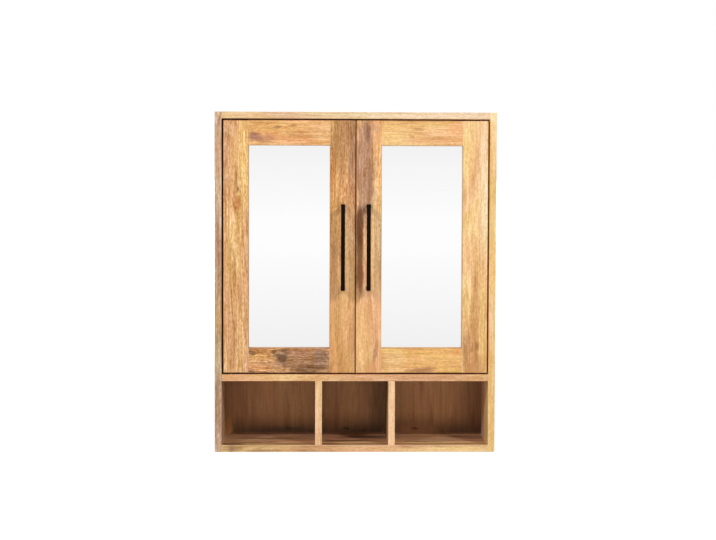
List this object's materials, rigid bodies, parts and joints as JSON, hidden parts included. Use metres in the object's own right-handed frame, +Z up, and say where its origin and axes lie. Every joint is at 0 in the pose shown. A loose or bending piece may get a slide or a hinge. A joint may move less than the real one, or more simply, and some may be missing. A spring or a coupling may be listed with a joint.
{
  "type": "mirror cabinet",
  "caption": "Wall-hung wooden cabinet with framed mirror doors on concealed pivot hinges, bar handles, a shelf inside and open cubbies below.",
  "frame": {"origin": "midpoint between the two wall screw holes of the hanging rail, on the plane of the wall", "axes": "+Z up, +Y into the wall, front faces -Y, +X to the right of someone facing the front"},
  "size_m": [0.66, 0.194, 0.8],
  "materials": {
    "case_wood": "clear satin lacquer on solid light hardwood",
    "door_wood": "clear satin lacquer on solid light hardwood",
    "back_board": "lacquered veneered board",
    "mirror_glass": "silvered glass",
    "black_metal": "black powder coat, matt",
    "steel": "zinc plated",
    "brass": "plain",
    "brown_plastic": "moulded"
  },
  "bodies": {
    "case": {"left_side_panel": "case_wood", "right_side_panel": "case_wood", "top_board": "case_wood", "bottom_board": "case_wood", "middle_shelf": "case_wood", "left_divider": "case_wood", "right_divider": "case_wood", "back_panel": "back_board", "hanging_rail": "case_wood", "lower_rail": "case_wood", "inner_shelf": "case_wood", "shelf_supports": "steel", "case_dowels": "case_wood", "back_panel_screws": "steel", "left_upper_pivot_plate": "steel", "left_lower_pivot_plate": "steel", "right_upper_pivot_plate": "steel", "right_lower_pivot_plate": "steel", "pivot_pins": "steel", "pivot_collars": "brass", "pivot_plate_screws": "steel", "left_catch_case": "brown_plastic", "right_catch_case": "brown_plastic", "left_catch_magnet": "steel", "right_catch_magnet": "steel", "catch_screws": "steel"},
    "left_door": {"left_hinge_stile": "door_wood", "left_meeting_stile": "door_wood", "left_top_rail": "door_wood", "left_bottom_rail": "door_wood", "left_mirror": "mirror_glass", "left_mirror_cover": "back_board", "left_cover_screws": "steel", "left_upper_bush_plate": "steel", "left_lower_bush_plate": "steel", "left_bush_plate_screws": "steel", "left_handle": "black_metal", "left_handle_screws": "steel", "left_strike_plate": "steel", "left_strike_screws": "steel"},
    "right_door": {"right_hinge_stile": "door_wood", "right_meeting_stile": "door_wood", "right_top_rail": "door_wood", "right_bottom_rail": "door_wood", "right_mirror": "mirror_glass", "right_mirror_cover": "back_board", "right_cover_screws": "steel", "right_upper_bush_plate": "steel", "right_lower_bush_plate": "steel", "right_bush_plate_screws": "steel", "right_handle": "black_metal", "right_handle_screws": "steel", "right_strike_plate": "steel", "right_strike_screws": "steel"}
  },
  "joints": [
    {"name": "left_door_swing", "type": "hinge", "parent": "case", "child": "left_door", "pos_m": [-0.29311, -0.154, -0.27], "axis": [0, 0, -1], "range_deg": [0, 125]},
    {"name": "right_door_swing", "type": "hinge", "parent": "case", "child": "right_door", "pos_m": [0.29311, -0.154, -0.27], "axis": [0, 0, 1], "range_deg": [0, 125]}
  ]
}
